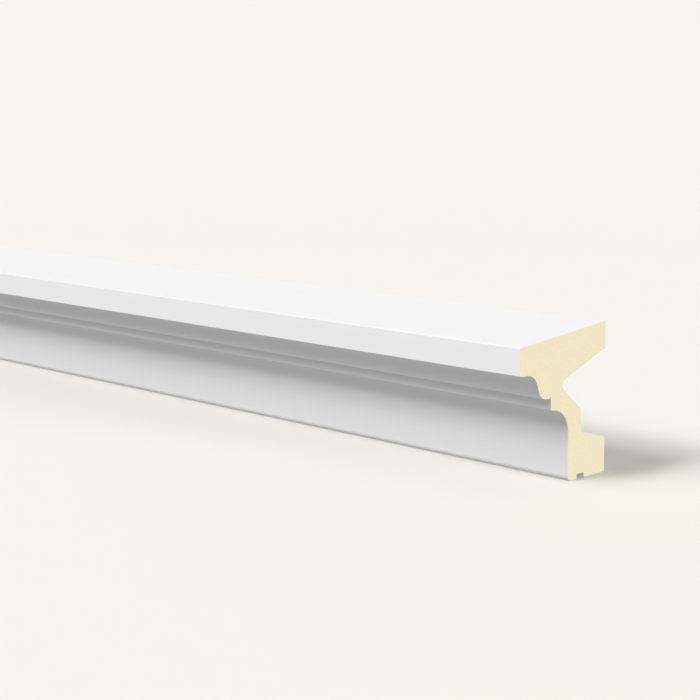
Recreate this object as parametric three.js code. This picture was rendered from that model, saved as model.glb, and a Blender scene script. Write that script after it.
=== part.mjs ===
// A length of window sill moulding for a facade: rigid polyurethane foam with a white coat, sawn square at both ends.
// The sill slab sheds water over a plain fascia. Below it run an ogee, a fillet, a cavetto and a plain apron, and the
// apron ends in a rounded lip with a drip groove behind it. Two strips at the back, one on the slab and one on the
// foot, bed against the wall, and the hollow between them saves material.
//
// Units are millimetres. X runs along the moulding, Y points into the wall, and Z is up.
// The origin is the centre of the foot's wall strip.
import * as THREE from "three";

// Overall sizes
const LENGTH = 1000;
const PROJECTION = 120; // wall to the front of the slab
const HEIGHT = 134; // underside to the slab's back edge
const TOP_FALL = THREE.MathUtils.degToRad(5); // fall of the sill's top towards the front

// Slab and its back
const FASCIA_HEIGHT = 24;
const SOFFIT_FALL = THREE.MathUtils.degToRad(2.5); // fall of the slab's underside towards the wall
const SLAB_STRIP_HEIGHT = 23.8; // strip that beds against the wall
const SLAB_RELIEF_SLOPE = THREE.MathUtils.degToRad(19.5);

// Ogee under the slab: a hollow above, a round below, and the slope that is tangent to both
const OGEE_TOP_PROJECTION = 99.7; // where the slope meets the slab's underside
const OGEE_FOOT_PROJECTION = 91.9; // where the slope meets the fillet's top
const OGEE_HOLLOW_RADIUS = 14.7;
const OGEE_ROUND_RADIUS = 11.1;

// Fillet, cavetto and apron
const FILLET_PROJECTION = 78;
const FILLET_TOP = 76;
const FILLET_HEIGHT = 10.2;
const CAVETTO_RADIUS = 21.9;
const CAVETTO_FALL = THREE.MathUtils.degToRad(10); // fall of the cavetto's upper land towards the wall
const APRON_PROJECTION = 53.3;

// Lip and drip groove
const LIP_RADIUS = 5.2;
const LIP_THICKNESS = 12.5;
const GROOVE_MOUTH = 10.9;
const GROOVE_DEPTH = 4.4;
const GROOVE_DRAFT = 0.8; // each wall leans in by this much

// Foot and web behind the apron
const FOOT_STRIP_HEIGHT = 31.2; // strip that beds against the wall
const FOOT_SLOPE = THREE.MathUtils.degToRad(15); // fall of the foot's top towards the wall
const WEB_FOOT_PROJECTION = 34.6; // back of the web where it stands on the foot
const WEB_HEAD_PROJECTION = 35.6; // back of the web where it turns out to the neck
const WEB_HEAD_HEIGHT = 61.4;
const NECK_SLOPE = THREE.MathUtils.degToRad(39.1);
const NECK_RADIUS = 4.5;

// Softened edges left by the mould
const ARRIS_RADIUS = 0.8;
const INNER_RADIUS = 0.5;

const ARC_STEPS = 5; // three.js draws twice this many segments on a round corner

const FACE_COLOUR = "#f4f4f4";

// A corner of the section: its projection from the wall, its height over the underside, and its rounding.
function corner(projection, height, radius) {
  return { point: new THREE.Vector2(-projection, height), radius };
}

// The neck is the innermost point of the hollow back, where the slab's relief meets the slope up from the web.
function neckCorner() {
  const relief = Math.tan(SLAB_RELIEF_SLOPE);
  const slope = Math.tan(NECK_SLOPE);
  const reliefStart = HEIGHT - SLAB_STRIP_HEIGHT;
  const projection = (reliefStart - WEB_HEAD_HEIGHT + slope * WEB_HEAD_PROJECTION) / (relief + slope);
  return corner(projection, reliefStart - relief * projection, NECK_RADIUS);
}

// The section's corners in order, from the top back edge forwards over the front, then back under the foot.
function sectionCorners() {
  const topFront = HEIGHT - PROJECTION * Math.tan(TOP_FALL);
  const soffit = topFront - FASCIA_HEIGHT;
  const soffitFall = (PROJECTION - OGEE_TOP_PROJECTION) * Math.tan(SOFFIT_FALL);
  const filletFoot = FILLET_TOP - FILLET_HEIGHT;
  const cavettoFall = (FILLET_PROJECTION - APRON_PROJECTION) * Math.tan(CAVETTO_FALL);
  const grooveFront = APRON_PROJECTION - LIP_THICKNESS;
  const grooveBack = grooveFront - GROOVE_MOUTH;
  const footTop = FOOT_STRIP_HEIGHT + WEB_FOOT_PROJECTION * Math.tan(FOOT_SLOPE);
  return [
    corner(0, HEIGHT, ARRIS_RADIUS),
    corner(PROJECTION, topFront, ARRIS_RADIUS),
    corner(PROJECTION, soffit, ARRIS_RADIUS),
    corner(OGEE_TOP_PROJECTION, soffit - soffitFall, OGEE_HOLLOW_RADIUS),
    corner(OGEE_FOOT_PROJECTION, FILLET_TOP, OGEE_ROUND_RADIUS),
    corner(FILLET_PROJECTION, FILLET_TOP, INNER_RADIUS),
    corner(FILLET_PROJECTION, filletFoot, ARRIS_RADIUS),
    corner(APRON_PROJECTION, filletFoot - cavettoFall, CAVETTO_RADIUS),
    corner(APRON_PROJECTION, 0, LIP_RADIUS),
    corner(grooveFront, 0, ARRIS_RADIUS),
    corner(grooveFront - GROOVE_DRAFT, GROOVE_DEPTH, INNER_RADIUS),
    corner(grooveBack + GROOVE_DRAFT, GROOVE_DEPTH, INNER_RADIUS),
    corner(grooveBack, 0, ARRIS_RADIUS),
    corner(0, 0, ARRIS_RADIUS),
    corner(0, FOOT_STRIP_HEIGHT, ARRIS_RADIUS),
    corner(WEB_FOOT_PROJECTION, footTop, INNER_RADIUS),
    corner(WEB_HEAD_PROJECTION, WEB_HEAD_HEIGHT, ARRIS_RADIUS),
    neckCorner(),
    corner(0, HEIGHT - SLAB_STRIP_HEIGHT, ARRIS_RADIUS),
  ];
}

// Adds a corner to the outline as an arc that is tangent to the straight on each side.
function addRoundCorner(outline, before, here, after) {
  const back = before.point.clone().sub(here.point).normalize();
  const ahead = after.point.clone().sub(here.point).normalize();
  const halfAngle = Math.acos(back.dot(ahead)) / 2;
  const bisector = back.clone().add(ahead).normalize();
  const centre = here.point.clone().addScaledVector(bisector, here.radius / Math.sin(halfAngle));
  const reach = here.radius / Math.tan(halfAngle);
  const start = here.point.clone().addScaledVector(back, reach).sub(centre);
  const end = here.point.clone().addScaledVector(ahead, reach).sub(centre);
  const clockwise = back.cross(ahead) > 0;
  outline.absarc(centre.x, centre.y, here.radius, start.angle(), end.angle(), clockwise);
}

// The closed section, drawn with the wall at x = 0 and the underside at y = 0.
function sectionOutline() {
  const corners = sectionCorners();
  const outline = new THREE.Shape();
  corners.forEach((here, i) => {
    const before = corners[(i + corners.length - 1) % corners.length];
    const after = corners[(i + 1) % corners.length];
    addRoundCorner(outline, before, here, after);
  });
  outline.closePath();
  return outline;
}

// The section swept along the moulding, with its ends cut square.
function sillMoulding() {
  const geometry = new THREE.ExtrudeGeometry(sectionOutline(), {
    depth: LENGTH,
    curveSegments: ARC_STEPS,
    bevelEnabled: false,
  });
  geometry.translate(0, -FOOT_STRIP_HEIGHT / 2, -LENGTH / 2);
  const coat = new THREE.MeshStandardMaterial({ color: FACE_COLOUR, roughness: 0.55, metalness: 0 });
  const mesh = new THREE.Mesh(geometry, coat);
  mesh.name = "sill_moulding";
  mesh.rotation.set(Math.PI / 2, Math.PI / 2, 0);
  return mesh;
}

const sill = new THREE.Group();
sill.add(sillMoulding());

export default sill;
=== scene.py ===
"""Window sill moulding in coated rigid foam: its visible surface, its finishes, and a plain studio.

The moulding is one section swept along a straight line and sawn square at both ends. The sizes and
colours that a user would change are scene properties, one operator makes the moulding, and one makes
the stage. All sizes are in metres. X runs along the moulding, Y points to the back, and Z is up.
"""
import math

import bmesh
import bpy
from bpy.props import FloatProperty, FloatVectorProperty, IntProperty, PointerProperty
from mathutils import Euler, Matrix, Vector


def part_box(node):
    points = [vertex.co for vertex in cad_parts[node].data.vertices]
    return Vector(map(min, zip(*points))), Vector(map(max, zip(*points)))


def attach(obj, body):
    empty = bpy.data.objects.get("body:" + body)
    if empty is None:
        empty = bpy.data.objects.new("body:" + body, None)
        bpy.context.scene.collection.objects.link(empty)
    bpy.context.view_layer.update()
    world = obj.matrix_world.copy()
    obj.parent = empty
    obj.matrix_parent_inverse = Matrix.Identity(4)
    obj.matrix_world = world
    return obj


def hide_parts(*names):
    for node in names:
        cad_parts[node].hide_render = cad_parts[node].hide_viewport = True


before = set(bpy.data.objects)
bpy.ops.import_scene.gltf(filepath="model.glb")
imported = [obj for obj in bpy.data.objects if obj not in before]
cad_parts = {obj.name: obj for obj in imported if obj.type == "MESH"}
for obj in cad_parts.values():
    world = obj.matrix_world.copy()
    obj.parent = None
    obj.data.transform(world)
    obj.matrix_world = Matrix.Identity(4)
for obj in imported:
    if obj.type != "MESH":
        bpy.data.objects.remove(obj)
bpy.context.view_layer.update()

bl_info = {
    "name": "Window Sill Moulding",
    "version": (1, 0, 0),
    "blender": (4, 5, 0),
    "location": "3D View > Sidebar > Sill",
    "description": "Sweeps, coats and stages a length of window sill moulding",
    "category": "Object",
}

# Names, and places taken from the frame
PIECE = "coated_moulding"
NODE = "sill_moulding"
BODY = "root"
NODE_LOW, NODE_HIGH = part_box(NODE)
LENGTH = NODE_HIGH.x - NODE_LOW.x
PROJECTION = NODE_HIGH.y - NODE_LOW.y
UNDERSIDE = NODE_LOW.z

MM = 0.001
QUARTER_TURN = math.radians(90)
WHITE = (1.0, 1.0, 1.0)


def size(name, description, millimetres):
    """A length that a user may change, kept in metres."""
    return FloatProperty(
        name=name,
        description=description,
        default=millimetres * MM,
        min=0.0,
        precision=4,
        subtype="DISTANCE",
        unit="LENGTH",
    )


def slope(name, description, degrees):
    """An angle that a user may change."""
    return FloatProperty(
        name=name,
        description=description,
        default=math.radians(degrees),
        subtype="ANGLE",
        unit="ROTATION",
    )


def share(name, description, value):
    """A share from nothing to all."""
    return FloatProperty(
        name=name, description=description, default=value, min=0.0, max=1.0, subtype="FACTOR"
    )


def colour(name, description, value):
    """A linear colour without alpha."""
    return FloatVectorProperty(
        name=name, description=description, default=value, min=0.0, max=1.0, size=3, subtype="COLOR"
    )


def direction(name, description, value):
    """A direction towards a light."""
    return FloatVectorProperty(
        name=name, description=description, default=value, size=3, subtype="DIRECTION"
    )


def strength(name, description, value):
    """The strength of a light."""
    return FloatProperty(name=name, description=description, default=value, min=0.0)


class SillSection(bpy.types.PropertyGroup):
    """Sizes of the section: projections are measured from the back, and heights from the underside."""

    length: size("Length", "Length between the two sawn ends", LENGTH / MM)
    projection: size("Projection", "Back to the front of the slab", PROJECTION / MM)
    height: size("Height", "Underside to the slab's back edge", 134)
    top_fall: slope("Top fall", "Fall of the sill's top towards the front", 5)

    fascia_height: size("Fascia height", "Height of the slab's plain front", 24)
    soffit_fall: slope("Soffit fall", "Fall of the slab's underside towards the back", 2.5)
    slab_strip: size("Slab strip", "Height of the slab's flat strip at the back", 23.8)
    slab_relief: slope("Slab relief", "Slope of the slab's hollow underside at the back", 19.5)

    ogee_top: size("Ogee top", "Projection where the ogee's slope meets the soffit", 99.7)
    ogee_foot: size("Ogee foot", "Projection where the ogee's slope meets the fillet's top", 91.9)
    ogee_hollow: size("Ogee hollow", "Radius of the ogee's upper hollow", 14.7)
    ogee_round: size("Ogee round", "Radius of the ogee's lower round", 11.1)

    fillet_projection: size("Fillet projection", "Projection of the fillet's face", 78)
    fillet_top: size("Fillet top", "Height of the fillet's upper edge", 76)
    fillet_height: size("Fillet height", "Height of the fillet's face", 10.2)
    cavetto_radius: size("Cavetto radius", "Radius of the cavetto", 21.9)
    cavetto_fall: slope("Cavetto fall", "Fall of the cavetto's upper land towards the back", 10)
    apron_projection: size("Apron projection", "Projection of the plain apron", 53.3)

    lip_radius: size("Lip radius", "Rounding of the apron's lower lip", 5.2)
    lip_thickness: size("Lip thickness", "Apron face to the drip groove", 12.5)
    groove_mouth: size("Groove mouth", "Width of the drip groove at its mouth", 10.9)
    groove_depth: size("Groove depth", "Depth of the drip groove", 4.4)
    groove_draft: size("Groove draft", "How far each side of the groove leans in", 0.8)

    foot_strip: size("Foot strip", "Height of the foot's flat strip at the back", 31.2)
    foot_slope: slope("Foot slope", "Fall of the foot's top towards the back", 15)
    web_foot: size("Web foot", "Projection of the web's back where it stands on the foot", 34.6)
    web_head: size("Web head", "Projection of the web's back where it turns out to the neck", 35.6)
    web_head_height: size("Web head height", "Height where the web turns out to the neck", 61.4)
    neck_slope: slope("Neck slope", "Slope from the web's head up to the neck", 39.1)
    neck_radius: size("Neck radius", "Rounding of the hollow back's innermost point", 4.5)

    arris_radius: size("Arris radius", "Softening of outer edges", 0.8)
    inner_radius: size("Inner radius", "Softening of inner edges", 0.5)
    coat_thickness: size("Coat thickness", "Thickness of the coat, which shows on the sawn ends", 0.2)
    length_steps: IntProperty(name="Length steps", description="Faces along the length", default=50, min=1)


class SillFinish(bpy.types.PropertyGroup):
    """Colours and surface of the coat and of the sawn foam."""

    coat_colour: colour("Coat", "White factory coat", (0.80, 0.80, 0.80))
    film_colour: colour("Film", "Thinner coat on the faces turned to the back", (0.795, 0.785, 0.755))
    coat_roughness: share("Coat roughness", "Roughness of the coat", 0.52)
    coat_dullness: share("Coat dullness", "How far the roughness rises in dull patches", 0.10)
    coat_gloss: share("Coat gloss", "Specular level of the coat", 0.3)
    coat_mottle: share("Coat mottle", "How far the coat's tone varies", 0.016)
    patch_width: size("Patch width", "Width of the coat's dull patches", 60)
    streak_width: size("Streak width", "Width of the faint streaks along the length", 3)
    streak_depth: size("Streak depth", "Depth of the streaks", 0.04)
    streak_stretch: FloatProperty(
        name="Streak stretch", description="Length of a streak over its width", default=80.0, min=1.0
    )
    stipple_width: size("Stipple width", "Width of the coat's stipple", 0.9)
    stipple_depth: size("Stipple depth", "Depth of the coat's stipple", 0.05)

    foam_colour: colour("Foam", "Sawn foam", (0.86, 0.782, 0.54))
    foam_roughness: share("Foam roughness", "Roughness of the sawn foam", 0.9)
    foam_gloss: share("Foam gloss", "Specular level of the sawn foam", 0.2)
    foam_mottle: share("Foam mottle", "How far the foam's tone varies in patches", 0.02)
    foam_patch_width: size("Foam patch width", "Width of the foam's patches", 14)
    cell_width: size("Cell width", "Width of the foam's cells", 0.8)
    cell_depth: size("Cell depth", "Depth of the foam's cut cells", 0.08)
    cell_tone: share("Cell tone", "How far the tone varies from cell to cell", 0.04)
    saw_pitch: size("Saw pitch", "Distance between saw marks", 5)
    saw_depth: size("Saw depth", "Depth of the saw marks", 0.02)
    saw_tone: share("Saw tone", "How far the tone varies across the saw marks", 0.006)
    saw_lean: slope("Saw lean", "Lean of the saw marks from level", 24)


class SillStage(bpy.types.PropertyGroup):
    """Camera, lights and floor."""

    camera_place: FloatVectorProperty(
        name="Camera place",
        description="Where the camera stands",
        default=(1.2988, -1.1365, 0.3204),
        size=3,
        subtype="TRANSLATION",
        unit="LENGTH",
    )
    camera_heading: slope("Camera heading", "Turn of the camera from +Y towards -X", 44.39)
    camera_tilt: slope("Camera tilt", "How far the camera looks down", 4.37)
    camera_lens: FloatProperty(
        name="Lens", description="Focal length on a 36 mm sensor", default=81.08, min=1.0, unit="CAMERA"
    )
    camera_shift: FloatProperty(name="Shift", description="Vertical shift of the frame", default=-0.2)

    backdrop_colour: colour("Backdrop", "Colour of the studio far from the moulding", (0.939, 0.913, 0.871))
    floor_colour: colour("Floor", "Colour of the floor", (0.799, 0.777, 0.741))

    high_key_direction: direction("High key direction", "Towards the upper key light", (-0.20, -0.53, 0.82))
    high_key_strength: strength("High key strength", "Strength of the upper key light", 0.548)
    low_key_direction: direction("Low key direction", "Towards the lower key light", (-0.20, -0.72, 0.66))
    low_key_strength: strength("Low key strength", "Strength of the lower key light", 1.031)
    key_spread: slope("Key spread", "Apparent width of each key light", 14)
    soft_direction: direction("Soft direction", "Towards the soft light", (-0.383, -0.656, 0.650))
    soft_strength: strength("Soft strength", "Strength of the soft light", 1.094)
    soft_spread: slope("Soft spread", "Apparent width of the soft light", 30)
    right_direction: direction("Right direction", "Towards the light on the right end", (0.96, 0.22, 0.12))
    right_strength: strength("Right strength", "Strength of the light on the right end", 1.52)
    left_direction: direction("Left direction", "Towards the light on the left end", (-0.95, 0.31, 0.02))
    left_strength: strength("Left strength", "Strength of the light on the left end", 0.79)
    end_spread: slope("End spread", "Apparent width of the light on each end", 12)
    front_sky: strength("Front sky", "Even light from above the front", 0.503)
    back_sky: strength("Back sky", "Even light from above the back", 0.53)
    front_ground: strength("Front ground", "Even light from below the front", 0.411)
    back_ground: strength("Back ground", "Even light from below the back", 0.745)


# Section
def corner(projection, height, radius):
    """A corner in the drawing plane, where the back is x = 0 and the underside y = 0, and its rounding."""
    return Vector((-projection, height, 0.0)), radius


def neck_corner(sizes):
    """The innermost point of the hollow back, where the slab's relief meets the slope up from the web."""
    fall = math.tan(sizes.slab_relief)
    rise = math.tan(sizes.neck_slope)
    relief_start = sizes.height - sizes.slab_strip
    projection = (relief_start - sizes.web_head_height + rise * sizes.web_head) / (fall + rise)
    return corner(projection, relief_start - fall * projection, sizes.neck_radius)


def section_corners(sizes):
    """The section's corners in order, over the top, down the front, under the foot and up the back."""
    top_front = sizes.height - sizes.projection * math.tan(sizes.top_fall)
    soffit = top_front - sizes.fascia_height
    soffit_back = soffit - (sizes.projection - sizes.ogee_top) * math.tan(sizes.soffit_fall)
    fillet_foot = sizes.fillet_top - sizes.fillet_height
    cavetto_depth = sizes.fillet_projection - sizes.apron_projection
    cavetto_back = fillet_foot - cavetto_depth * math.tan(sizes.cavetto_fall)
    groove_front = sizes.apron_projection - sizes.lip_thickness
    groove_back = groove_front - sizes.groove_mouth
    foot_top = sizes.foot_strip + sizes.web_foot * math.tan(sizes.foot_slope)
    return [
        corner(0.0, sizes.height, sizes.arris_radius),
        corner(sizes.projection, top_front, sizes.arris_radius),
        corner(sizes.projection, soffit, sizes.arris_radius),
        corner(sizes.ogee_top, soffit_back, sizes.ogee_hollow),
        corner(sizes.ogee_foot, sizes.fillet_top, sizes.ogee_round),
        corner(sizes.fillet_projection, sizes.fillet_top, sizes.inner_radius),
        corner(sizes.fillet_projection, fillet_foot, sizes.arris_radius),
        corner(sizes.apron_projection, cavetto_back, sizes.cavetto_radius),
        corner(sizes.apron_projection, 0.0, sizes.lip_radius),
        corner(groove_front, 0.0, sizes.arris_radius),
        corner(groove_front - sizes.groove_draft, sizes.groove_depth, sizes.inner_radius),
        corner(groove_back + sizes.groove_draft, sizes.groove_depth, sizes.inner_radius),
        corner(groove_back, 0.0, sizes.arris_radius),
        corner(0.0, 0.0, sizes.arris_radius),
        corner(0.0, sizes.foot_strip, sizes.arris_radius),
        corner(sizes.web_foot, foot_top, sizes.inner_radius),
        corner(sizes.web_head, sizes.web_head_height, sizes.arris_radius),
        neck_corner(sizes),
        corner(0.0, sizes.height - sizes.slab_strip, sizes.arris_radius),
    ]


# Names of the values that the mesh carries
RADIUS_NAME = "corner_radius"
STEPS_NAME = "arc_steps"
SAWN_NAME = "sawn_face"
BACK_SIDE_NAME = "back_side"

# Fineness of the mesh
SMALL_RADIUS = 2 * MM  # a rounding below this is only a softened edge
SMALL_ARC_STEPS = 6
LARGE_ARC_STEPS = 28
WELD_DISTANCE = 0.001 * MM
SMOOTH_ANGLE = math.radians(30)
BACK_SIDE_TURN = 0.2  # a face whose normal points this far to the back is turned to it

# Numbers that the sweep works with
REVERSED = -1.0
HALF = 0.5
LAST_STATION = 1.0  # a run of steps has one more station than it has steps


def corner_mesh(sizes):
    """The section's corners as a closed chain of edges, with the rounding of each."""
    corners = section_corners(sizes)
    count = len(corners)
    places = [place for place, radius in corners]
    edges = [(index, (index + 1) % count) for index in range(count)]
    radii = [radius for place, radius in corners]
    steps = [SMALL_ARC_STEPS if radius < SMALL_RADIUS else LARGE_ARC_STEPS for radius in radii]
    mesh = bpy.data.meshes.new("section_corners")
    mesh.from_pydata(places, edges, [])
    mesh.attributes.new(RADIUS_NAME, "FLOAT", "POINT").data.foreach_set("value", radii)
    mesh.attributes.new(STEPS_NAME, "INT", "POINT").data.foreach_set("value", steps)
    return mesh


class Tree:
    """A node tree that is being built: add places a node with its settings, and wire links two sockets."""

    def __init__(self, tree):
        self.tree = tree

    def add(self, kind, values=None, **settings):
        node = self.tree.nodes.new(kind)
        for name, value in settings.items():
            setattr(node, name, value)
        for name, value in (values or {}).items():
            node.inputs[name].default_value = value
        return node

    def wire(self, source, target):
        self.tree.links.new(source, target)


def moulding_tree():
    """Geometry Nodes that round the section's corners, sweep it, and close both ends with coat and foam."""
    group = bpy.data.node_groups.new("sill_sweep", "GeometryNodeTree")
    for name, kind in (
        ("Corners", "NodeSocketGeometry"),
        ("Length", "NodeSocketFloat"),
        ("Length Steps", "NodeSocketInt"),
        ("Coat Thickness", "NodeSocketFloat"),
        ("Underside", "NodeSocketFloat"),
        ("Coat", "NodeSocketMaterial"),
        ("Foam", "NodeSocketMaterial"),
    ):
        group.interface.new_socket(name, in_out="INPUT", socket_type=kind)
    group.interface.new_socket("Moulding", in_out="OUTPUT", socket_type="NodeSocketGeometry")
    tree = Tree(group)
    given = tree.add("NodeGroupInput").outputs
    result = tree.add("NodeGroupOutput").inputs["Moulding"]

    # Section with its corners rounded
    chain = tree.add("GeometryNodeMeshToCurve")
    radius = tree.add("GeometryNodeInputNamedAttribute", {"Name": RADIUS_NAME}, data_type="FLOAT")
    steps = tree.add("GeometryNodeInputNamedAttribute", {"Name": STEPS_NAME}, data_type="INT")
    section = tree.add("GeometryNodeFilletCurve", mode="POLY")
    tree.wire(given["Corners"], chain.inputs["Mesh"])
    tree.wire(chain.outputs["Curve"], section.inputs["Curve"])
    tree.wire(radius.outputs["Attribute"], section.inputs["Radius"])
    tree.wire(steps.outputs["Attribute"], section.inputs["Count"])

    # Outline of the foam under the coat
    normal = tree.add("GeometryNodeInputNormal")
    depth = tree.add("ShaderNodeMath", {1: REVERSED}, operation="MULTIPLY")
    inwards = tree.add("ShaderNodeVectorMath", operation="SCALE")
    core = tree.add("GeometryNodeSetPosition")
    tree.wire(given["Coat Thickness"], depth.inputs[0])
    tree.wire(normal.outputs["Normal"], inwards.inputs["Vector"])
    tree.wire(depth.outputs["Value"], inwards.inputs["Scale"])
    tree.wire(section.outputs["Curve"], core.inputs["Geometry"])
    tree.wire(inwards.outputs["Vector"], core.inputs["Offset"])

    # Coated skin along the length
    half = tree.add("ShaderNodeMath", {1: HALF}, operation="MULTIPLY")
    right = tree.add("ShaderNodeCombineXYZ")
    left = tree.add("ShaderNodeVectorMath", {"Scale": REVERSED}, operation="SCALE")
    path = tree.add("GeometryNodeCurvePrimitiveLine")
    stations = tree.add("ShaderNodeMath", {1: LAST_STATION}, operation="ADD")
    spaced = tree.add("GeometryNodeResampleCurve", mode="COUNT")
    skin = tree.add("GeometryNodeCurveToMesh")
    tree.wire(given["Length"], half.inputs[0])
    tree.wire(half.outputs["Value"], right.inputs["Z"])
    tree.wire(right.outputs["Vector"], left.inputs["Vector"])
    tree.wire(left.outputs["Vector"], path.inputs["Start"])
    tree.wire(right.outputs["Vector"], path.inputs["End"])
    tree.wire(given["Length Steps"], stations.inputs[0])
    tree.wire(path.outputs["Curve"], spaced.inputs["Curve"])
    tree.wire(stations.outputs["Value"], spaced.inputs["Count"])
    tree.wire(spaced.outputs["Curve"], skin.inputs["Curve"])
    tree.wire(section.outputs["Curve"], skin.inputs["Profile Curve"])

    # Sawn end: a rim of coat round a face of foam
    outlines = tree.add("GeometryNodeJoinGeometry")
    rim = tree.add("GeometryNodeFillCurve", mode="TRIANGLES")
    face = tree.add("GeometryNodeFillCurve", mode="TRIANGLES")
    sawn = tree.add(
        "GeometryNodeStoreNamedAttribute",
        {"Name": SAWN_NAME, "Value": True},
        data_type="BOOLEAN",
        domain="FACE",
    )
    end = tree.add("GeometryNodeJoinGeometry")
    tree.wire(section.outputs["Curve"], outlines.inputs["Geometry"])
    tree.wire(core.outputs["Geometry"], outlines.inputs["Geometry"])
    tree.wire(outlines.outputs["Geometry"], rim.inputs["Curve"])
    tree.wire(core.outputs["Geometry"], face.inputs["Curve"])
    tree.wire(face.outputs["Mesh"], sawn.inputs["Geometry"])
    tree.wire(rim.outputs["Mesh"], end.inputs["Geometry"])
    tree.wire(sawn.outputs["Geometry"], end.inputs["Geometry"])

    # Whole moulding, welded and turned from the drawing plane into its place
    whole = tree.add("GeometryNodeJoinGeometry")
    tree.wire(skin.outputs["Mesh"], whole.inputs["Geometry"])
    for place in (right, left):
        moved = tree.add("GeometryNodeTransform")
        tree.wire(end.outputs["Geometry"], moved.inputs["Geometry"])
        tree.wire(place.outputs["Vector"], moved.inputs["Translation"])
        tree.wire(moved.outputs["Geometry"], whole.inputs["Geometry"])
    welded = tree.add("GeometryNodeMergeByDistance", {"Distance": WELD_DISTANCE})
    rise = tree.add("ShaderNodeCombineXYZ")
    upright = Euler((QUARTER_TURN, 0.0, QUARTER_TURN))
    placed = tree.add("GeometryNodeTransform", {"Rotation": upright})
    tree.wire(whole.outputs["Geometry"], welded.inputs["Geometry"])
    tree.wire(given["Underside"], rise.inputs["Z"])
    tree.wire(welded.outputs["Geometry"], placed.inputs["Geometry"])
    tree.wire(rise.outputs["Vector"], placed.inputs["Translation"])

    # Finishes
    real = tree.add("GeometryNodeRealizeInstances")
    coated = tree.add("GeometryNodeSetMaterial")
    is_sawn = tree.add("GeometryNodeInputNamedAttribute", {"Name": SAWN_NAME}, data_type="BOOLEAN")
    finished = tree.add("GeometryNodeSetMaterial")
    tree.wire(placed.outputs["Geometry"], real.inputs["Geometry"])
    tree.wire(real.outputs["Geometry"], coated.inputs["Geometry"])
    tree.wire(given["Coat"], coated.inputs["Material"])
    tree.wire(coated.outputs["Geometry"], finished.inputs["Geometry"])
    tree.wire(is_sawn.outputs["Attribute"], finished.inputs["Selection"])
    tree.wire(given["Foam"], finished.inputs["Material"])
    tree.wire(finished.outputs["Geometry"], result)
    return group


def swept_mesh(sizes, coat, foam):
    """Runs the tree on the section's corners and returns the result as a plain mesh."""
    group = moulding_tree()
    chain = corner_mesh(sizes)
    holder = bpy.data.objects.new("section_corners", chain)
    bpy.context.scene.collection.objects.link(holder)
    sweep = holder.modifiers.new("sweep", "NODES")
    sweep.node_group = group
    values = {
        "Length": sizes.length,
        "Length Steps": sizes.length_steps,
        "Coat Thickness": sizes.coat_thickness,
        "Underside": UNDERSIDE,
        "Coat": coat,
        "Foam": foam,
    }
    for socket in group.interface.items_tree:
        if socket.name in values:
            sweep[socket.identifier] = values[socket.name]
    bpy.context.view_layer.update()
    evaluated = holder.evaluated_get(bpy.context.evaluated_depsgraph_get())
    mesh = bpy.data.meshes.new_from_object(evaluated)
    mesh.name = PIECE
    bpy.data.objects.remove(holder)
    bpy.data.meshes.remove(chain)
    return mesh


def strip_mesh(mesh):
    """Takes off the tree's own values and the empty material slot that joining leaves."""
    for name in (RADIUS_NAME, STEPS_NAME, SAWN_NAME):
        mesh.attributes.remove(mesh.attributes[name])
    for index in reversed(range(len(mesh.materials))):
        if mesh.materials[index] is None:
            mesh.materials.pop(index=index)


def close_mesh(mesh):
    """Turns every face outwards, and stops if the surface isn't closed."""
    work = bmesh.new()
    work.from_mesh(mesh)
    bmesh.ops.recalc_face_normals(work, faces=work.faces)
    open_edges = [edge for edge in work.edges if not edge.is_manifold]
    volume = work.calc_volume(signed=True)
    work.to_mesh(mesh)
    work.free()
    if open_edges or volume <= 0:
        raise RuntimeError(f"the moulding isn't closed: {len(open_edges)} open edges, volume {volume:.6f}")


def mark_back_side(mesh):
    """Marks the faces that are turned to the back, which have the thinner film."""
    back_side = mesh.attributes.new(BACK_SIDE_NAME, "FLOAT", "FACE")
    back_side.data.foreach_set("value", [float(face.normal.y > BACK_SIDE_TURN) for face in mesh.polygons])


def even_shading(piece):
    """Smooth shading in which the broad flats stay flat beside their rounded edges."""
    piece.data.shade_smooth()
    piece.data.set_sharp_from_angle(angle=SMOOTH_ANGLE)
    weighted = piece.modifiers.new("even_shading", "WEIGHTED_NORMAL")
    weighted.keep_sharp = True
    with bpy.context.temp_override(object=piece):
        bpy.ops.object.modifier_apply(modifier=weighted.name)


# Finishes
WAVE_REPEAT = math.tau / 20  # a wave texture of scale 1 repeats over this distance
SAW_WANDER = 6.0  # how far the saw marks stray from straight lines


def opaque(shade):
    """A colour with its alpha, as a socket takes it."""
    return (*shade, 1.0)


def new_material(name):
    """A material with a Principled shader, and its tree."""
    material = bpy.data.materials.new(name)
    material.use_nodes = True
    return material, Tree(material.node_tree), material.node_tree.nodes["Principled BSDF"]


def noise(tree, place, width):
    """Soft noise whose features are about as wide as width."""
    node = tree.add("ShaderNodeTexNoise", {"Scale": 1.0 / width})
    tree.wire(place, node.inputs["Vector"])
    return node.outputs["Fac"]


def mapped(tree, place, **values):
    """Object coordinates turned or stretched by a Mapping node."""
    node = tree.add("ShaderNodeMapping", values)
    tree.wire(place, node.inputs["Vector"])
    return node.outputs["Vector"]


def ranged(tree, value, low, high, start=0.0, end=1.0):
    """A value moved from the range start to end into the range low to high."""
    limits = {"From Min": start, "From Max": end, "To Min": low, "To Max": high}
    node = tree.add("ShaderNodeMapRange", limits)
    tree.wire(value, node.inputs["Value"])
    return node.outputs["Result"]


def varied(tree, value, amount):
    """A factor that strays from 1 by amount either way."""
    return ranged(tree, value, 1.0 - amount, 1.0 + amount)


def product(tree, first, second):
    """Two factors multiplied."""
    node = tree.add("ShaderNodeMath", operation="MULTIPLY")
    tree.wire(first, node.inputs[0])
    tree.wire(second, node.inputs[1])
    return node.outputs["Value"]


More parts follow.
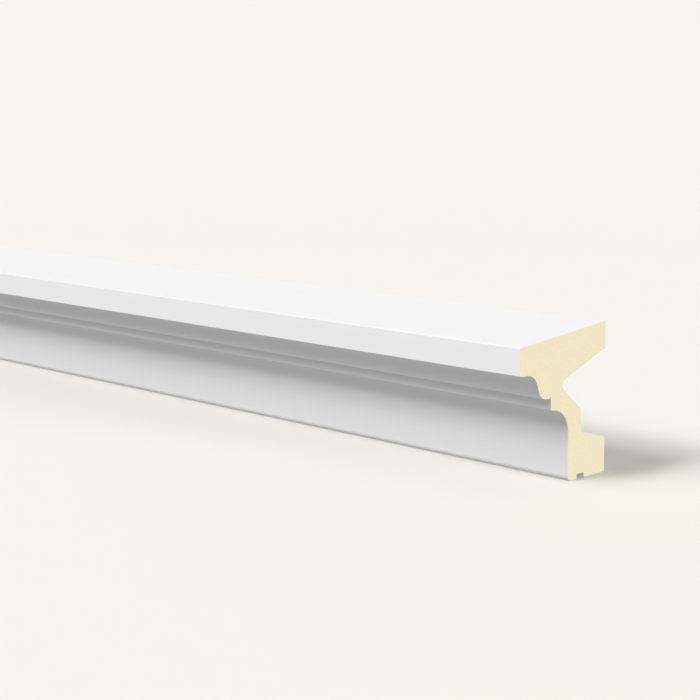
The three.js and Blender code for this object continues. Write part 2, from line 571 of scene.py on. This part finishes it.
def toned(tree, factor, base):
    """A base colour made lighter or darker by a factor."""
    node = tree.add("ShaderNodeHueSaturation", {"Color": opaque(base)})
    tree.wire(factor, node.inputs["Value"])
    return node.outputs["Color"]


def relief(tree, shader, *layers):
    """Fine relief on the shader's normal, from pairs of a height and its depth."""
    under = None
    for height, depth in layers:
        bump = tree.add("ShaderNodeBump", {"Distance": depth})
        tree.wire(height, bump.inputs["Height"])
        if under:
            tree.wire(under, bump.inputs["Normal"])
        under = bump.outputs["Normal"]
    tree.wire(under, shader.inputs["Normal"])


def coat_material(finish):
    """White factory coat: a fine stipple, faint streaks along the length, and a thinner film behind."""
    material, tree, shader = new_material("white_coat")
    place = tree.add("ShaderNodeTexCoord").outputs["Object"]
    lengthwise = mapped(tree, place, Scale=(1.0 / finish.streak_stretch, 1.0, 1.0))
    patches = noise(tree, place, finish.patch_width)
    streaks = noise(tree, lengthwise, finish.streak_width)
    stipple = noise(tree, place, finish.stipple_width)

    # Colour
    patch_tone = varied(tree, patches, finish.coat_mottle)
    streak_tone = varied(tree, streaks, finish.coat_mottle)
    tone = product(tree, patch_tone, streak_tone)
    behind = tree.add("ShaderNodeAttribute", attribute_name=BACK_SIDE_NAME)
    film = tree.add("ShaderNodeMix", data_type="RGBA")
    tree.wire(behind.outputs["Fac"], film.inputs["Factor"])
    tree.wire(toned(tree, tone, finish.coat_colour), film.inputs["A"])
    tree.wire(toned(tree, tone, finish.film_colour), film.inputs["B"])
    tree.wire(film.outputs["Result"], shader.inputs["Base Color"])

    # Surface
    dull = ranged(tree, patches, finish.coat_roughness, finish.coat_roughness + finish.coat_dullness)
    tree.wire(dull, shader.inputs["Roughness"])
    shader.inputs["Specular IOR Level"].default_value = finish.coat_gloss
    relief(tree, shader, (streaks, finish.streak_depth), (stipple, finish.stipple_depth))
    return material


def foam_material(finish):
    """Sawn rigid foam: fine cut cells, faint saw marks and a soft mottle."""
    material, tree, shader = new_material("sawn_foam")
    place = tree.add("ShaderNodeTexCoord").outputs["Object"]
    patches = noise(tree, place, finish.foam_patch_width)
    cells = tree.add("ShaderNodeTexVoronoi", {"Scale": 1.0 / finish.cell_width})
    tree.wire(place, cells.inputs["Vector"])
    saw = tree.add(
        "ShaderNodeTexWave",
        {"Scale": WAVE_REPEAT / finish.saw_pitch, "Distortion": SAW_WANDER},
        bands_direction="Z",
    )
    tree.wire(mapped(tree, place, Rotation=(finish.saw_lean, 0.0, 0.0)), saw.inputs["Vector"])

    # Colour
    patch_tone = varied(tree, patches, finish.foam_mottle)
    cell_tone = varied(tree, cells.outputs["Color"], finish.cell_tone)
    saw_tone = varied(tree, saw.outputs["Fac"], finish.saw_tone)
    tone = product(tree, product(tree, patch_tone, cell_tone), saw_tone)
    tree.wire(toned(tree, tone, finish.foam_colour), shader.inputs["Base Color"])

    # Surface
    shader.inputs["Roughness"].default_value = finish.foam_roughness
    shader.inputs["Specular IOR Level"].default_value = finish.foam_gloss
    saw_marks = (saw.outputs["Fac"], finish.saw_depth)
    cut_cells = (cells.outputs["Distance"], finish.cell_depth)
    relief(tree, shader, saw_marks, cut_cells)
    return material


class SILL_OT_make_moulding(bpy.types.Operator):
    """Sweep, close and finish the length of moulding"""

    bl_idname = "sill.make_moulding"
    bl_label = "Make Moulding"

    def execute(self, context):
        finish = context.scene.sill_finish
        mesh = swept_mesh(context.scene.sill_section, coat_material(finish), foam_material(finish))
        strip_mesh(mesh)
        close_mesh(mesh)
        mark_back_side(mesh)
        piece = bpy.data.objects.new(PIECE, mesh)
        context.scene.collection.objects.link(piece)
        even_shading(piece)
        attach(piece, BODY)
        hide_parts(NODE)
        return {"FINISHED"}


# Stage
FLOOR_RADIUS = 14.0
FLOOR_STEPS = 64
FLOOR_ROUGHNESS = 1.0
FLOOR_GLOSS = 0.0
FADE_START = 1.6  # distance from the origin at which the floor starts to fade
FADE_END = 4.0  # distance at which only the backdrop's colour is left
QUARTER_BLUR = 0.1  # how far, on a unit sphere, one quarter's light reaches into the next


def make_camera(stage):
    """The camera, without roll, at the photograph's viewing angle."""
    camera = bpy.data.objects.new("camera", bpy.data.cameras.new("camera"))
    bpy.context.scene.collection.objects.link(camera)
    camera.location = stage.camera_place
    camera.rotation_euler = (QUARTER_TURN - stage.camera_tilt, 0.0, stage.camera_heading)
    camera.data.lens = stage.camera_lens
    camera.data.shift_y = stage.camera_shift
    bpy.context.scene.camera = camera


def make_sun(name, towards, power, spread):
    """A distant soft light."""
    light = bpy.data.lights.new(name, "SUN")
    light.energy = power
    light.angle = spread
    lamp = bpy.data.objects.new(name, light)
    lamp.rotation_euler = Vector(towards).to_track_quat("Z", "Y").to_euler()
    bpy.context.scene.collection.objects.link(lamp)


def quartered(tree, value, low, high):
    """A level that passes from low to high where the value passes from below 0 to above it."""
    return ranged(tree, value, low, high, -QUARTER_BLUR, QUARTER_BLUR)


def make_world(stage):
    """Even light from four quarters, front and back, above and below, and the backdrop the camera sees."""
    world = bpy.data.worlds.new("studio")
    bpy.context.scene.world = world
    world.use_nodes = True
    tree = Tree(world.node_tree)
    background = world.node_tree.nodes["Background"]
    output = world.node_tree.nodes["World Output"]
    split = tree.add("ShaderNodeSeparateXYZ")
    tree.wire(tree.add("ShaderNodeTexCoord").outputs["Generated"], split.inputs["Vector"])
    front = quartered(tree, split.outputs["Z"], stage.front_ground, stage.front_sky)
    back = quartered(tree, split.outputs["Z"], stage.back_ground, stage.back_sky)
    turn = quartered(tree, split.outputs["Y"], 0.0, 1.0)
    level = tree.add("ShaderNodeMix", data_type="FLOAT")
    tree.wire(turn, level.inputs["Factor"])
    tree.wire(front, level.inputs["A"])
    tree.wire(back, level.inputs["B"])
    tree.wire(level.outputs["Result"], background.inputs["Strength"])
    background.inputs["Color"].default_value = opaque(WHITE)
    plain = tree.add("ShaderNodeBackground", {"Color": opaque(stage.backdrop_colour)})
    seen = tree.add("ShaderNodeLightPath").outputs["Is Camera Ray"]
    mix = tree.add("ShaderNodeMixShader")
    tree.wire(seen, mix.inputs[0])
    tree.wire(background.outputs["Background"], mix.inputs[1])
    tree.wire(plain.outputs["Background"], mix.inputs[2])
    tree.wire(mix.outputs["Shader"], output.inputs["Surface"])


def floor_material(stage):
    """A matte pale floor that fades into the backdrop away from the moulding."""
    material, tree, shader = new_material("pale_floor")
    shader.inputs["Base Color"].default_value = opaque(stage.floor_colour)
    shader.inputs["Roughness"].default_value = FLOOR_ROUGHNESS
    shader.inputs["Specular IOR Level"].default_value = FLOOR_GLOSS
    place = tree.add("ShaderNodeTexCoord").outputs["Object"]
    away = tree.add("ShaderNodeVectorMath", operation="LENGTH")
    tree.wire(place, away.inputs["Vector"])
    limits = {"From Min": FADE_START, "From Max": FADE_END}
    fade = tree.add("ShaderNodeMapRange", limits, interpolation_type="SMOOTHSTEP")
    tree.wire(away.outputs["Value"], fade.inputs["Value"])
    glow = tree.add("ShaderNodeEmission", {"Color": opaque(stage.backdrop_colour)})
    mix = tree.add("ShaderNodeMixShader")
    tree.wire(fade.outputs["Result"], mix.inputs[0])
    tree.wire(shader.outputs["BSDF"], mix.inputs[1])
    tree.wire(glow.outputs["Emission"], mix.inputs[2])
    tree.wire(mix.outputs["Shader"], material.node_tree.nodes["Material Output"].inputs["Surface"])
    return material


def make_floor(stage):
    """A round floor under the moulding, which takes its shadow and throws no light back."""
    work = bmesh.new()
    bmesh.ops.create_circle(work, cap_ends=True, segments=FLOOR_STEPS, radius=FLOOR_RADIUS)
    mesh = bpy.data.meshes.new("studio_floor")
    work.to_mesh(mesh)
    work.free()
    mesh.transform(Matrix.Translation((0.0, 0.0, UNDERSIDE)))
    mesh.materials.append(floor_material(stage))
    floor = bpy.data.objects.new("studio_floor", mesh)
    bpy.context.scene.collection.objects.link(floor)
    floor.visible_diffuse = False
    floor.visible_glossy = False
    floor.visible_shadow = False


class SILL_OT_make_stage(bpy.types.Operator):
    """Set up the camera, the lights and the floor"""

    bl_idname = "sill.make_stage"
    bl_label = "Make Stage"

    def execute(self, context):
        stage = context.scene.sill_stage
        make_camera(stage)
        make_sun("high_key", stage.high_key_direction, stage.high_key_strength, stage.key_spread)
        make_sun("low_key", stage.low_key_direction, stage.low_key_strength, stage.key_spread)
        make_sun("soft", stage.soft_direction, stage.soft_strength, stage.soft_spread)
        make_sun("right_end", stage.right_direction, stage.right_strength, stage.end_spread)
        make_sun("left_end", stage.left_direction, stage.left_strength, stage.end_spread)
        make_world(stage)
        make_floor(stage)
        context.scene.view_settings.view_transform = "Standard"
        return {"FINISHED"}


class SILL_PT_panel(bpy.types.Panel):
    """Sizes and finishes of the moulding, and the two operators"""

    bl_idname = "SILL_PT_panel"
    bl_label = "Window Sill Moulding"
    bl_space_type = "VIEW_3D"
    bl_region_type = "UI"
    bl_category = "Sill"

    def draw(self, context):
        for group, operator in (
            (context.scene.sill_section, None),
            (context.scene.sill_finish, SILL_OT_make_moulding),
            (context.scene.sill_stage, SILL_OT_make_stage),
        ):
            box = self.layout.box()
            for name in group.__annotations__:
                box.prop(group, name)
            if operator:
                box.operator(operator.bl_idname)


CLASSES = (SillSection, SillFinish, SillStage, SILL_OT_make_moulding, SILL_OT_make_stage, SILL_PT_panel)


def register():
    for each in CLASSES:
        bpy.utils.register_class(each)
    bpy.types.Scene.sill_section = PointerProperty(type=SillSection)
    bpy.types.Scene.sill_finish = PointerProperty(type=SillFinish)
    bpy.types.Scene.sill_stage = PointerProperty(type=SillStage)


def unregister():
    del bpy.types.Scene.sill_stage
    del bpy.types.Scene.sill_finish
    del bpy.types.Scene.sill_section
    for each in reversed(CLASSES):
        bpy.utils.unregister_class(each)


def main():
    register()
    bpy.ops.sill.make_moulding()
    bpy.ops.sill.make_stage()


if __name__ == "__main__":
    main()
